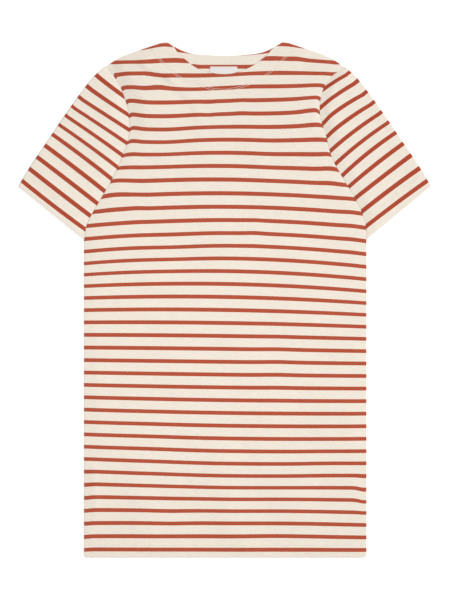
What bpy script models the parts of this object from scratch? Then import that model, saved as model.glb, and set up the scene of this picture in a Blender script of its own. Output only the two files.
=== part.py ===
"""A short-sleeved T-shirt dress, laid flat on its back with its front panel up.

The front and back panels lie on each other. Each sleeve is a flattened tube with its fold on the
outer edge, open at the cuff and at the armhole. Inside the neck show the facing of the back neck
and a blank woven label on it.

Metres. +X is the wearer's left, +Y points to the neck and +Z up. The origin is on the surface that
the dress lies on, under the middle of its box. In the tables, heights are above the hem's edge and
reaches are from the centre line.
"""

import math

import bmesh
import bpy
from mathutils import Vector

# --- Driving dimensions ---------------------------------------------------------------------------
LENGTH = 0.9285  # hem to the neck point, the highest place of the shoulder
BODY_HALF = 0.255  # half the width of the body
UNDERARM_HEIGHT = 0.570  # where the side seam ends and the armhole starts
HEM_CORNER = 0.0055  # rounding of the hem's corners
NECK_HALF = 0.106  # neck point from the centre line
TIP_REACH = 0.214  # shoulder tip from the centre line
TIP_HEIGHT = 0.882
CUFF_REACH = 0.371  # outer corner of the cuff
CUFF_HEIGHT = 0.668

CLOTH = 0.0012  # wall of the jersey, with its hems and seams levelled in
FACING = 0.0010
LABEL = 0.0010
GAP = 0.0003  # between a piece and what lies on it
SEAM_GAP = 0.00036  # between a sleeve and the panels, along the armhole

PUFF = 0.0008  # how far the front stands up inside its flat edges
ROLL = 0.022  # width of the rolled edge over which it rises
FOLD_RADIUS = 0.0019  # outer radius of a sleeve's fold
FACING_DEPTH = 0.040  # of the back neck facing, at the centre
FACING_SHOULDER = 0.037  # its width along the shoulder seam
FACING_MARGIN = 0.004  # how far past the facing's edge the front is still fully up
FACING_PRINT = 0.020  # and over what width it then comes down
FACING_SWEEP = 2.5  # the higher, the later its lower edge turns up to the shoulder
FACING_INSET = 0.001  # of the facing from the back panel's edges
LABEL_WIDTH = 0.049
LABEL_HEIGHT = 0.020
LABEL_TOP = 0.883
LABEL_CENTRE = -0.002
LABEL_RISE = 0.0006  # the front's extra height over the label
LABEL_RISE_REACH = (0.045, 0.022)

SHOULDER = (
    # reach, height
    (NECK_HALF, LENGTH),
    (0.150, 0.9140),
    (0.194, 0.8970),
    (0.208, 0.8890),
    (TIP_REACH, TIP_HEIGHT),
)
BACK_NECK = (
    # reach, height
    (0.000, 0.9022),
    (0.045, 0.9050),
    (0.070, 0.9100),
    (0.092, 0.9205),
    (NECK_HALF, LENGTH),
)
FRONT_NECK = (
    # reach, height
    (0.000, 0.8680),
    (0.030, 0.8715),
    (0.055, 0.8840),
    (0.080, 0.9050),
    (NECK_HALF, LENGTH),
)
ARMHOLE = (
    # height, right reach, left reach
    (UNDERARM_HEIGHT, BODY_HALF, BODY_HALF),
    (0.600, 0.2460, 0.2530),
    (0.640, 0.2255, 0.2375),
    (0.680, 0.2030, 0.2145),
    (0.720, 0.1850, 0.1945),
    (0.760, 0.1725, 0.1820),
    (0.800, 0.1735, 0.1710),
    (0.840, 0.1850, 0.1770),
    (0.865, 0.1990, 0.1955),
    (TIP_HEIGHT, TIP_REACH, TIP_REACH),
)
SLEEVE_FOLD = (
    # height, reach
    (CUFF_HEIGHT, CUFF_REACH),
    (0.700, 0.3520),
    (0.750, 0.3185),
    (0.808, 0.2790),
    (0.862, 0.2385),
    (TIP_HEIGHT, TIP_REACH + 0.003),
)
FOLDS = (
    # start across, start height, end across, end height, half width, rise
    (-0.150, 0.852, -0.078, 0.884, 0.013, 0.0014),  # slants down from the right shoulder
    (-0.152, 0.838, -0.147, 0.735, 0.012, 0.0020),  # stands beside the right armhole
    (0.150, 0.862, 0.128, 0.775, 0.014, 0.0018),  # beside the left armhole
    (-0.152, 0.165, -0.138, 0.020, 0.028, 0.0013),  # waves that run up from the hem
    (-0.012, 0.185, 0.018, 0.030, 0.030, 0.0014),
    (0.128, 0.150, 0.134, 0.030, 0.028, 0.0009),
    (0.100, 0.470, 0.215, 0.545, 0.030, 0.0010),  # from the waist to the left underarm
    (-0.215, 0.540, -0.120, 0.500, 0.028, 0.0010),
)

SIDE_COLUMNS = 9  # of a panel, from each side to the neck point
SIDE_CROWDING = 1.5  # how much closer they lie towards the side
NECK_COLUMNS = 16  # between the neck points
ARMHOLE_ROWS = 15
ARMHOLE_CROWDING = 1.4  # how much closer they lie towards the shoulder tip
HEM_ROWS = (0.000, HEM_CORNER, 0.016, 0.030)  # heights of the first rows of the front panel
FRONT_ROWS = 20  # from there to the underarm
BACK_ROWS = 4  # of the back panel, from the hem's corners to the underarm
FACING_COLUMNS = 22
FACING_ROWS = 3
LAYER_STEPS = 7  # across each layer of a sleeve
FOLD_STEPS = 6  # round its fold

CREAM = (0.86, 0.78, 0.68)
WHITE = (0.88, 0.87, 0.85)
JERSEY_ROUGHNESS = 0.9
LABEL_ROUGHNESS = 0.7


# --- Helpers --------------------------------------------------------------------------------------
def read(table, at, column=1):
    """Reads a column of a table anywhere, on a smooth curve through its rows.

    Between two rows it is a cubic whose slopes at the rows come from their neighbours.
    """
    last = len(table) - 1
    row = max(i for i in range(last) if i == 0 or table[i][0] <= at)
    before, after = table[row], table[row + 1]
    span = after[0] - before[0]
    share = min(1.0, max(0.0, (at - before[0]) / span))

    def slope(i):
        low, high = table[max(i - 1, 0)], table[min(i + 1, last)]
        return (high[column] - low[column]) / (high[0] - low[0])

    ease = share * share * (3 - 2 * share)
    level = before[column] + (after[column] - before[column]) * ease
    start = slope(row) * share * (1 - share) ** 2
    end = slope(row + 1) * share * share * (share - 1)
    return level + span * (start + end)


def smooth(value):
    """0 below 0, 1 above 1, and an S-shaped rise between."""
    value = min(1.0, max(0.0, value))
    return value * value * (3 - 2 * value)


def steps(start, end, count):
    """count + 1 even steps from start to end."""
    return [start + (end - start) * i / count for i in range(count + 1)]


def in_frame(across, height, up):
    """A point of the dress, moved to the frame whose origin is under its middle."""
    return Vector((across, height - LENGTH / 2, up))


def make_material(name, color, roughness):
    material = bpy.data.materials.new(name)
    material.use_nodes = True
    shader = material.node_tree.nodes["Principled BSDF"]
    shader.inputs["Base Color"].default_value = (*color, 1.0)
    shader.inputs["Roughness"].default_value = roughness
    shader.inputs["Metallic"].default_value = 0.0
    material.diffuse_color = (*color, 1.0)
    return material


def make_cloth(name, columns, rows, place, thickness, side):
    """Shapes a grid with place(column, row) and gives it a wall.

    side is +1 for a wall that grows the way the faces point and -1 for one that grows behind them.
    """
    grid = bmesh.new()
    across, up = len(columns) - 1, len(rows) - 1
    bmesh.ops.create_grid(grid, x_segments=across, y_segments=up, size=0.5)
    for vertex in grid.verts:
        column = columns[round((vertex.co.x + 0.5) * across)]
        row = rows[round((vertex.co.y + 0.5) * up)]
        vertex.co = place(column, row)
    mesh = bpy.data.meshes.new(name)
    grid.to_mesh(mesh)
    grid.free()
    mesh.shade_smooth()
    cloth = bpy.data.objects.new(name, mesh)
    collection.objects.link(cloth)
    wall = cloth.modifiers.new("wall", "SOLIDIFY")
    wall.thickness = thickness
    wall.offset = side
    mesh.materials.append(make_material(name + "_cloth", CREAM, JERSEY_ROUGHNESS))
    return cloth


# --- Panels ---------------------------------------------------------------------------------------
def side_reach(height, column):
    """How far a panel reaches on one side: rounded at the hem, straight, then along the armhole."""
    if height < HEM_CORNER:
        rest = 1 - height / HEM_CORNER
        return BODY_HALF - HEM_CORNER * (1 - math.sqrt(1 - rest * rest))
    if height < UNDERARM_HEIGHT:
        return BODY_HALF
    return read(ARMHOLE, height, column)


def top_height(across, neck):
    """Height of a panel's top edge: the shoulder line, or the neck's edge between the neck points."""
    reach = abs(across)
    return read(neck if reach < NECK_HALF else SHOULDER, reach)


def panel_place(column, height, neck):
    """Where a panel's point lies, flat.

    A row runs straight from side to side. Above the underarm it takes on more and more of the top
    edge's shape, by the square of its height there, so that the last row is the top edge.
    """
    right, left = -side_reach(height, 1), side_reach(height, 2)
    across = right + (left - right) * column
    risen = max(0.0, height - UNDERARM_HEIGHT) / (TIP_HEIGHT - UNDERARM_HEIGHT)
    rise = top_height(TIP_REACH * (2 * column - 1), neck) - TIP_HEIGHT
    return across, height + rise * risen**2


def facing_edge(across):
    """Height of the lower edge of the back neck facing, which ends on the shoulder seams."""
    end = NECK_HALF + FACING_SHOULDER
    low = BACK_NECK[0][1] - FACING_DEPTH
    return low + (read(SHOULDER, end) - low) * (abs(across) / end) ** FACING_SWEEP


def fold_rise(across, height):
    """Sum of the soft folds: each is a bell across its line, and fades out past its ends."""
    total = 0.0
    for start_x, start_y, end_x, end_y, half, rise in FOLDS:
        run = Vector((end_x - start_x, end_y - start_y))
        offset = Vector((across - start_x, height - start_y))
        along = offset.dot(run) / run.length_squared
        nearest = run * min(1.0, max(0.0, along))
        total += rise * math.exp(-(((offset - nearest).length / half) ** 2))
    return total


def front_underside(across, height, side_distance):
    """Height of the front panel's lower face above the surface.

    It starts a gap above the back panel along the seams and the hem, stands a little higher inside
    them, steps up over the neck facing, and carries the folds.
    """
    shoulder_distance = ROLL
    if abs(across) > NECK_HALF:
        shoulder_distance = read(SHOULDER, abs(across)) - height
    inside = smooth(side_distance / ROLL) * smooth(height / ROLL) * smooth(shoulder_distance / ROLL)
    over_facing = smooth((height - facing_edge(across) + FACING_MARGIN) / FACING_PRINT + 1)
    label_reach, label_depth = LABEL_RISE_REACH
    past_label = math.hypot(
        (across - LABEL_CENTRE) / label_reach, (height - FRONT_NECK[0][1]) / label_depth
    )
    return (
        CLOTH
        + GAP
        + inside * (PUFF + fold_rise(across, height))
        + over_facing * (FACING + GAP)
        + LABEL_RISE * math.exp(-(past_label**2))
    )


def front_place(column, row_height):
    across, height = panel_place(column, row_height, FRONT_NECK)
    width = side_reach(row_height, 1) + side_reach(row_height, 2)
    side_distance = min(column, 1 - column) * width
    return in_frame(across, height, front_underside(across, height, side_distance))


def back_place(column, row_height):
    across, height = panel_place(column, row_height, BACK_NECK)
    return in_frame(across, height, 0.0)


def make_panels():
    """Columns run through the neck points and lie closer at the sides, where the front rolls."""
    neck_point = (TIP_REACH - NECK_HALF) / (2 * TIP_REACH)
    side = [neck_point * share**SIDE_CROWDING for share in steps(0, 1, SIDE_COLUMNS)]
    neck = steps(neck_point, 1 - neck_point, NECK_COLUMNS)[1:-1]
    columns = side + neck + [1 - share for share in reversed(side)]
    front_body = steps(HEM_ROWS[-1], UNDERARM_HEIGHT, FRONT_ROWS)
    back_body = steps(HEM_CORNER, UNDERARM_HEIGHT, BACK_ROWS)
    front_rows = [*HEM_ROWS[:-1], *front_body, *armhole_heights[1:]]
    back_rows = [0.0, *back_body, *armhole_heights[1:]]
    make_cloth("front_panel", columns, front_rows, front_place, CLOTH, 1)
    make_cloth("back_panel", columns, back_rows, back_place, CLOTH, 1)


# --- Sleeves --------------------------------------------------------------------------------------
def seam_point(index, sign):
    """The sleeve's own edge of the armhole seam, a gap outside the panels' edge, square to it."""
    column = 1 if sign < 0 else 2
    here = max(0, min(ARMHOLE_ROWS, index))
    low, high = max(0, here - 1), min(ARMHOLE_ROWS, here + 1)
    run = Vector(
        (
            side_reach(armhole_heights[high], column) - side_reach(armhole_heights[low], column),
            armhole_heights[high] - armhole_heights[low],
        )
    ).normalized()
    edge = Vector((side_reach(armhole_heights[here], column), armhole_heights[here]))
    return edge + Vector((run.y, -run.x)) * SEAM_GAP


def sleeve_place(sign):
    """Returns place(step, ring) for one sleeve.

    A ring runs from the seam at the back, under the sleeve, round its fold and over the front to
    the seam again. The first ring is at the cuff and the last one close to the shoulder tip.
    """

    def place(step, ring):
        share = ring / ARMHOLE_ROWS
        fold_height = CUFF_HEIGHT + (TIP_HEIGHT - CUFF_HEIGHT) * share
        fold = Vector((read(SLEEVE_FOLD, fold_height), fold_height))
        inward = seam_point(ring, sign) - fold
        width = inward.length
        if LAYER_STEPS <= step <= LAYER_STEPS + FOLD_STEPS:
            angle = math.pi * (step - LAYER_STEPS) / FOLD_STEPS
            distance = FOLD_RADIUS * (1 - math.sin(angle))
            up = FOLD_RADIUS * (1 - math.cos(angle))
        else:
            past = max(LAYER_STEPS - step, step - LAYER_STEPS - FOLD_STEPS) / LAYER_STEPS
            distance = FOLD_RADIUS + (width - FOLD_RADIUS) * past
            seam_top = 2 * CLOTH + GAP
            top = seam_top + (2 * FOLD_RADIUS - seam_top) * smooth((1 - past) * width / ROLL)
            up = 0.0 if step < LAYER_STEPS else top
        flat = fold + inward.normalized() * distance
        return in_frame(sign * flat.x, flat.y, up)

    return place


def make_sleeve(name, sign):
    steps_round = list(range(2 * LAYER_STEPS + FOLD_STEPS + 1))
    if sign > 0:
        steps_round.reverse()
    rings = list(range(ARMHOLE_ROWS + 1))
    make_cloth(name, steps_round, rings, sleeve_place(sign), CLOTH, -1)


# --- Inside the neck ------------------------------------------------------------------------------
def facing_place(column, row):
    """From the back neck's edge, a little inside it, down to the facing's lower edge."""
    upper_x = (NECK_HALF - FACING_INSET) * column
    lower_x = (NECK_HALF + FACING_SHOULDER - FACING_INSET) * column
    upper_y = read(BACK_NECK, abs(upper_x)) - FACING_INSET
    lower_y = facing_edge(lower_x) - FACING_INSET * column**2
    across = upper_x + (lower_x - upper_x) * row
    height = upper_y + (lower_y - upper_y) * row
    return in_frame(across, height, CLOTH + GAP)


def make_label():
    """A blank woven label, sewn on the facing; its lower edge goes under the front's neck edge."""
    bpy.ops.mesh.primitive_cube_add(size=1)
    label = bpy.context.object
    label.name = "neck_label"
    label.data.name = "neck_label"
    label.scale = (LABEL_WIDTH, LABEL_HEIGHT, LABEL)
    bottom = CLOTH + FACING + 2 * GAP
    label.location = in_frame(LABEL_CENTRE, LABEL_TOP - LABEL_HEIGHT / 2, bottom + LABEL / 2)
    label.data.materials.append(make_material("label_weave", WHITE, LABEL_ROUGHNESS))
    for user in list(label.users_collection):
        user.objects.unlink(label)
    collection.objects.link(label)


def make_neck():
    columns, rows = steps(1, -1, FACING_COLUMNS), steps(0, 1, FACING_ROWS)
    make_cloth("back_neck_facing", columns, rows, facing_place, FACING, 1)
    make_label()


for leftover in list(bpy.data.objects):
    bpy.data.objects.remove(leftover)
collection = bpy.data.collections.new("t_shirt_dress")
bpy.context.scene.collection.children.link(collection)

armhole_heights = [
    TIP_HEIGHT - (TIP_HEIGHT - UNDERARM_HEIGHT) * share**ARMHOLE_CROWDING
    for share in steps(1, 0, ARMHOLE_ROWS)
]
make_panels()
make_sleeve("sleeve_right", -1)
make_sleeve("sleeve_left", 1)
make_neck()
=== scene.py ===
# %% [markdown]
# # A T-shirt dress, laid flat
# This lesson dresses a plain CAD model of a T-shirt dress as real striped jersey. The CAD model says
# how the dress is cut, how large it is and where each layer lies. Here every panel becomes a thin
# shell of cloth with rolled edges, hems, soft creases and knitted stripes, and the sewing is added.
# Lengths are in metres. +X is the wearer's left, +Y points to the neck and +Z up.

import bpy
import numpy as np
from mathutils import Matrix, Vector


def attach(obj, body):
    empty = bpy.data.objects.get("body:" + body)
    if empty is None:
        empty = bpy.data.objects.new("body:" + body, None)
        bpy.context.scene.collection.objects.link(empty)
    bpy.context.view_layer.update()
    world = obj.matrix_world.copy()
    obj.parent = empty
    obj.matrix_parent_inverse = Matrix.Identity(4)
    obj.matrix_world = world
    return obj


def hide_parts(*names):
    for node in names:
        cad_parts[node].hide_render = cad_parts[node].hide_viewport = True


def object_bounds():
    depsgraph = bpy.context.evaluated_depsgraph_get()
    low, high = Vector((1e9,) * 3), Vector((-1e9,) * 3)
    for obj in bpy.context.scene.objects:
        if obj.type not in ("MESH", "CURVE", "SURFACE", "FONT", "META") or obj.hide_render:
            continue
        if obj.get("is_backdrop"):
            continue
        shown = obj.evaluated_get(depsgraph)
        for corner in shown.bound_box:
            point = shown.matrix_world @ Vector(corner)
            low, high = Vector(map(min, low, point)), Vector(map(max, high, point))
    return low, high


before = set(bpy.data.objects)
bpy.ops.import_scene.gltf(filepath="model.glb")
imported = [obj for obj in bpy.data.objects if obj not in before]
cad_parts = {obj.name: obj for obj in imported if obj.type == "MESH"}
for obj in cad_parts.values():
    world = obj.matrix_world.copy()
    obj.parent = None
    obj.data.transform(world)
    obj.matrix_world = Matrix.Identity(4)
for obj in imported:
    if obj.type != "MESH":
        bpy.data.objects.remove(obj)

cad_box = [list(corner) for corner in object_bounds()]
print("CAD box, m:", [[round(x, 4) for x in corner] for corner in cad_box])

# %% [markdown]
# ## The paper pattern
# A garment starts from a pattern: a few lengths, and curves for the shoulder, the neck, the armhole
# and the fold of the sleeve. They could be traced as long lists of points. A short table with a
# smooth curve through its rows is easier to read and to alter. The CAD model is cut by much the
# same tables, so seen from above each shell lies within a millimetre or two of its solid. Heights
# are above the hem's edge and reaches are from the centre line.

# %% Sizes of the cut
LENGTH = 0.9285  # hem to the neck point, the highest place of the shoulder, as cut
NECK_POINT = 0.9275  # and as it lies, where its rolled seam makes it a little lower
RIGHT, LEFT = 1, 2  # columns of the tables whose sides differ
BODY_HALF = 0.255  # from the centre line to a side, as cut
BODY_SIDES = {RIGHT: 0.2531, LEFT: BODY_HALF}  # as it lies, the right side is drawn in a little
UNDERARM_HEIGHT = 0.570
HEM_CORNER = 0.0055  # radius of the hem's two corners
NECK_HALF = 0.106
TIP_REACH = 0.214  # shoulder tip
TIP_HEIGHT = 0.882
CUFF_REACH = 0.371
CUFF_HEIGHT = 0.668

SHOULDER = (
    # reach, height
    (NECK_HALF, NECK_POINT),
    (0.150, 0.9130),
    (0.184, 0.9010),
    (0.194, 0.8957),
    (0.201, 0.8915),
    (0.208, 0.8868),
    (TIP_REACH, TIP_HEIGHT),
)
BACK_NECK = (
    # reach, height
    (0.000, 0.9016),
    (0.045, 0.9042),
    (0.070, 0.9088),
    (0.092, 0.9190),
    (NECK_HALF, NECK_POINT),
)
FRONT_NECK = (
    # reach, height at the right and at the left, as the front was laid a little askew
    (0.000, 0.8685, 0.8685),
    (0.012, 0.8691, 0.8695),
    (0.022, 0.8705, 0.8719),
    (0.044, 0.8762, 0.8802),
    (0.058, 0.8842, 0.8887),
    (0.071, 0.8946, 0.8984),
    (0.079, 0.9010, 0.9060),
    (0.085, 0.9072, 0.9135),
    (0.091, 0.9158, 0.9180),
    (0.097, 0.9212, 0.9216),
    (NECK_HALF, NECK_POINT, NECK_POINT),
)
ARMHOLE = (
    # height, right reach, left reach
    (UNDERARM_HEIGHT, BODY_SIDES[RIGHT], BODY_SIDES[LEFT]),
    (0.600, 0.2478, 0.2530),
    (0.640, 0.2260, 0.2380),
    (0.680, 0.2030, 0.2140),
    (0.720, 0.1850, 0.1926),
    (0.760, 0.1725, 0.1820),
    (0.800, 0.1735, 0.1710),
    (0.840, 0.1850, 0.1762),
    (0.865, 0.1990, 0.1917),
    (0.871, 0.2040, 0.1992),
    (TIP_HEIGHT, TIP_REACH, TIP_REACH),
)
SLEEVE_FOLD = (
    # height, reach
    (CUFF_HEIGHT, CUFF_REACH),
    (0.700, 0.3520),
    (0.750, 0.3185),
    (0.808, 0.2790),
    (0.862, 0.2385),
    (TIP_HEIGHT, TIP_REACH + 0.003),
)
print("cut:", 2 * BODY_HALF, "m across and", LENGTH, "m long")

# %% [markdown]
# ## Thickness and layers
# Laid flat, the back panel is the lowest layer, then come the facing and the label of the neck, and
# the front panel lies on all of them. Real jersey has no sharp edge anywhere: where a panel ends, it
# is turned in or sewn on, so its edge is a small half round.

# %% Layers
CLOTH = 0.0012  # wall of the jersey
FACING = 0.0010
LABEL = 0.0010
GAP = 0.0003  # between a piece and what lies on it
RIM = CLOTH / 2  # radius of a turned edge
TOUCH = 0.00002  # what stays between two walls that are sewn together

PUFF = 0.0008  # how far the front stands up inside its flat edges
ROLL = 0.022  # width over which it rises
FOLD_RADIUS = 0.0019  # outer radius of a sleeve's fold
FACING_DEPTH = 0.040  # below the back neck's edge, at the centre
FACING_SHOULDER = 0.037  # along the shoulder, outside the neck point
FACING_SWEEP = 2.5  # power by which its lower edge rises to the shoulder
FACING_MARGIN = 0.004  # so far below that edge the front has risen to lie on the facing
FACING_PRINT = 0.020  # and this is the width over which it rises
LABEL_WIDTH = 0.049
LABEL_HEIGHT = 0.020
LABEL_TOP = 0.883
LABEL_CENTRE = -0.002
LABEL_RISE = 0.0006  # how much more the front stands up over the label
LABEL_RISE_REACH = (0.045, 0.022)  # half widths of that rise, across and up

# %% [markdown]
# ## Reading the pattern
# A tailor joins a few marks with a curved ruler. A Blender curve could do the same, but a function
# can be asked about any height. These helpers work on whole numpy arrays, so one call answers for
# every point of a panel.

# %% Helpers for curves
def read(table, at, column=1):
    """A column of a table, read anywhere on a smooth curve through its rows.

    Between two rows it is a cubic whose slopes at the rows come from their neighbours.
    """
    rows = np.array(table, dtype=float)
    place, level = rows[:, 0], rows[:, column]
    below = np.maximum(np.arange(len(rows)) - 1, 0)
    above = np.minimum(np.arange(len(rows)) + 1, len(rows) - 1)
    slope = (level[above] - level[below]) / (place[above] - place[below])
    row = np.clip(np.searchsorted(place, at, side="right") - 1, 0, len(rows) - 2)
    span = place[row + 1] - place[row]
    share = np.clip((at - place[row]) / span, 0, 1)
    eased = level[row] + (level[row + 1] - level[row]) * share**2 * (3 - 2 * share)
    leaving = slope[row] * share * (1 - share) ** 2
    arriving = slope[row + 1] * share**2 * (share - 1)
    return eased + span * (leaving + arriving)


def read_sides(table, across, at, right=RIGHT, left=LEFT):
    """A table read in one column on the right of the centre line and in another on its left."""
    return np.where(across < 0, read(table, at, right), read(table, at, left))


def smooth(value):
    """0 below 0, 1 above 1, and between them 3 t squared minus 2 t cubed."""
    value = np.clip(value, 0, 1)
    return value**2 * (3 - 2 * value)


def bell(distance, half):
    """1 on the line and e to the minus 1 at the half width from it."""
    return np.exp(-((distance / half) ** 2))


def in_frame(across, height, up):
    """Points of the dress, moved to the frame whose origin is under its middle."""
    across, height, up = np.broadcast_arrays(across, height, up)
    return np.stack([across, height - LENGTH / 2, up], axis=-1)


def unit(vectors):
    """Each vector divided by its length."""
    return vectors / np.linalg.norm(vectors, axis=-1, keepdims=True)


def beside(line, shift, *places):
    """A line of points moved to the right of its run, square to it; its slopes may need places."""
    run = unit(np.gradient(line, *places, axis=0))
    return line + shift * np.stack([run[:, 1], -run[:, 0]], axis=-1)


# %% Helpers for outlines
def side_reach(height, column):
    """A side of a panel: a quarter circle at the hem, then straight, then along the armhole."""
    rest = np.clip(1 - height / HEM_CORNER, 0, 1)
    straight = BODY_SIDES[column] - HEM_CORNER * (1 - np.sqrt(1 - rest**2))
    return np.where(height < UNDERARM_HEIGHT, straight, read(ARMHOLE, height, column))


def side_edge(heights, column, shift):
    """Points (reach, height) of a side edge, moved square to it by shift."""
    points = np.stack([side_reach(heights, column), heights], axis=-1)
    return beside(points, shift, heights)


def neck_height(across, neck):
    """A neck's curve, whose table has its right height first and its left height last."""
    return read_sides(neck, across, np.abs(across), left=-1)


def top_height(across, neck):
    """A panel's top edge: the neck's curve between the neck points and the shoulder outside them."""
    reach = np.abs(across)
    return np.where(reach < NECK_HALF, neck_height(across, neck), read(SHOULDER, reach))


def panel_grid(columns, heights, neck):
    """Across and height of every point of a panel that lies flat.

    A row runs straight from side to side, a rim's radius inside the cut. Above the underarm it
    takes on the top edge's shape, by the square of its own share of that height.
    """
    right, left = side_edge(heights, RIGHT, -RIM), side_edge(heights, LEFT, -RIM)
    ends = np.stack([-right[:, 0], right[:, 1], left[:, 0], left[:, 1]])[:, :, None]
    across = ends[0] + (ends[2] - ends[0]) * columns
    height = ends[1] + (ends[3] - ends[1]) * columns
    risen = np.clip((heights - UNDERARM_HEIGHT) / (TIP_HEIGHT - UNDERARM_HEIGHT), 0, 1)
    rise = top_height(TIP_REACH * (2 * columns - 1), neck) - RIM - TIP_HEIGHT
    return across, height + rise * risen[:, None] ** 2


def area_of(across, height):
    """Area of a flat grid: the sum of its four-sided cells, each half its diagonals' cross product."""
    first = np.stack([across[1:, 1:] - across[:-1, :-1], height[1:, 1:] - height[:-1, :-1]])
    second = np.stack([across[1:, :-1] - across[:-1, 1:], height[1:, :-1] - height[:-1, 1:]])
    return float(np.abs(first[0] * second[1] - first[1] * second[0]).sum() / 2)


# %% [markdown]
# ## Where the rows and columns run
# A grid catches a small form only where its lines lie close together. So the columns crowd towards
# the sides, where the front rolls over, and the rows crowd at the hem's and the cuffs' stitching and
# towards the shoulder tip. An even grid that fine would have ten times as many faces.

# %% Rows and columns of the panels
HEM_STITCHES = (0.022, 0.026)  # heights of the two rows of stitching
CUFF_STITCHES = (0.026, 0.030)  # and their distances from the cuff's edge
SIDE_CROWDING = 1.3  # power by which columns crowd towards a side
TIP_CROWDING = 1.2  # and rows towards the shoulder tip

neck_share = (TIP_REACH - NECK_HALF) / (2 * TIP_REACH)
side_columns = neck_share * np.linspace(0, 1, 35) ** SIDE_CROWDING
neck_columns = np.linspace(neck_share, 1 - neck_share, 89)[1:-1]
front_columns = np.concatenate([side_columns, neck_columns, 1 - side_columns[::-1]])
hem_corner_heights = [0, 0.0013, 0.003, HEM_CORNER, 0.009, 0.014]
hem_heights = np.concatenate([hem_corner_heights, np.arange(0.019, 0.030, 0.001)])
body_heights = np.linspace(0.034, UNDERARM_HEIGHT, 108)
cuff_steps = np.array([0.005, 0.010, 0.015, 0.020, *np.arange(0.0245, 0.0345, 0.001)])
cuff_heights = UNDERARM_HEIGHT + cuff_steps
tip_shares = np.linspace(1, 0, 76)[1:] ** TIP_CROWDING
tip_heights = TIP_HEIGHT - (TIP_HEIGHT - cuff_heights[-1]) * tip_shares
armhole_heights = np.concatenate([[UNDERARM_HEIGHT], cuff_heights, tip_heights])
front_heights = np.concatenate([hem_heights, body_heights[:-1], armhole_heights])
back_columns = np.concatenate([side_columns[::2], neck_columns[1::3], 1 - side_columns[::-2]])
back_heights = np.concatenate([hem_heights, body_heights[:-1:4], armhole_heights])
print("front grid:", len(front_heights), "rows of", len(front_columns))

# %% [markdown]
# ## Creases
# Jersey that was folded and then smoothed by hand keeps soft creases. They could come from a cloth
# simulation, but these lie where the cloth was pulled, beside the armholes and up from the hem, so
# they are listed. Each is a low ridge, or a trough where its rise is negative, with a bell for
# its section, and it fades out past its ends. They differ in length, depth and spacing.

# %% Creases
CREASES = (
    # start across, start height, end across, end height, half widths to its left and right, rise
    (-0.196, 0.8865, -0.146, 0.8865, 0.014, 0.0055, 0.0026),  # slants down from the right shoulder
    (-0.146, 0.8865, -0.100, 0.8615, 0.014, 0.0055, 0.0026),
    (-0.100, 0.8615, -0.066, 0.8280, 0.014, 0.0070, 0.0018),
    (-0.056, 0.814, -0.048, 0.796, 0.012, 0.0070, 0.0012),
    (0.163, 0.822, 0.160, 0.782, 0.012, 0.005, 0.0010),  # beside the left armhole
    (-0.152, 0.165, -0.138, 0.020, 0.028, 0.028, 0.0013),  # waves that run up from the hem
    (-0.012, 0.185, 0.018, 0.030, 0.030, 0.024, 0.0014),
    (0.128, 0.150, 0.134, 0.030, 0.028, 0.028, 0.0009),
    (0.100, 0.470, 0.215, 0.545, 0.030, 0.022, 0.0010),  # from the waist to the left underarm
    (-0.215, 0.540, -0.120, 0.500, 0.028, 0.020, 0.0010),
    (-0.075, 0.700, -0.030, 0.610, 0.016, 0.016, 0.0006),  # over the chest
    (0.052, 0.735, 0.088, 0.660, 0.014, 0.014, 0.0005),
    (-0.190, 0.452, -0.085, 0.430, 0.018, 0.014, 0.0006),  # across the waist
    (0.052, 0.398, 0.188, 0.418, 0.020, 0.015, 0.0005),
    (-0.092, 0.312, -0.058, 0.205, 0.016, 0.012, 0.0005),  # down the skirt
    (0.078, 0.290, 0.060, 0.176, 0.018, 0.014, 0.0006),
    (-0.226, 0.318, -0.220, 0.190, 0.012, 0.012, 0.0006),  # along the side seams
    (0.228, 0.268, 0.222, 0.120, 0.012, 0.012, 0.0005),
    (-0.236, 0.160, -0.232, 0.085, 0.006, 0.012, 0.0009),
    (-0.070, 0.140, -0.062, 0.015, 0.016, 0.016, -0.0004),  # troughs between the waves
    (0.075, 0.120, 0.082, 0.015, 0.018, 0.018, -0.0004),
    (-0.205, 0.812, -0.286, 0.700, 0.010, 0.007, 0.0006),  # along the right sleeve
    (-0.262, 0.640, -0.318, 0.672, 0.012, 0.008, 0.0005),
    (0.187, 0.802, 0.187, 0.757, 0.006, 0.012, 0.0014),  # along the left sleeve
    (0.205, 0.770, 0.196, 0.826, 0.010, 0.010, 0.0009),
    (0.230, 0.720, 0.296, 0.690, 0.014, 0.010, 0.0005),
    (0.268, 0.640, 0.332, 0.676, 0.011, 0.008, 0.0005),
)
print(len(CREASES), "creases")


def crease_rise(across, height):
    """The sum of all creases: a bell of the distance to the nearest point of each one's line.

    The bell's half width goes from one side's to the other's with the sine of the bearing from that
    point, so a crease can be steep on one side and gentle on the other.
    """
    total = np.zeros(np.shape(across))
    for start_x, start_y, end_x, end_y, left, right, rise in CREASES:
        run = np.array([end_x - start_x, end_y - start_y])
        away_x, away_y = across - start_x, height - start_y
        share = np.clip((away_x * run[0] + away_y * run[1]) / (run @ run), 0, 1)
        distance = np.hypot(away_x - run[0] * share, away_y - run[1] * share) + 1e-9
        sine = (run[0] * away_y - run[1] * away_x) / np.linalg.norm(run) / distance
        total += rise * bell(distance, (left + right) / 2 + (left - right) / 2 * sine)
    return total


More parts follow.
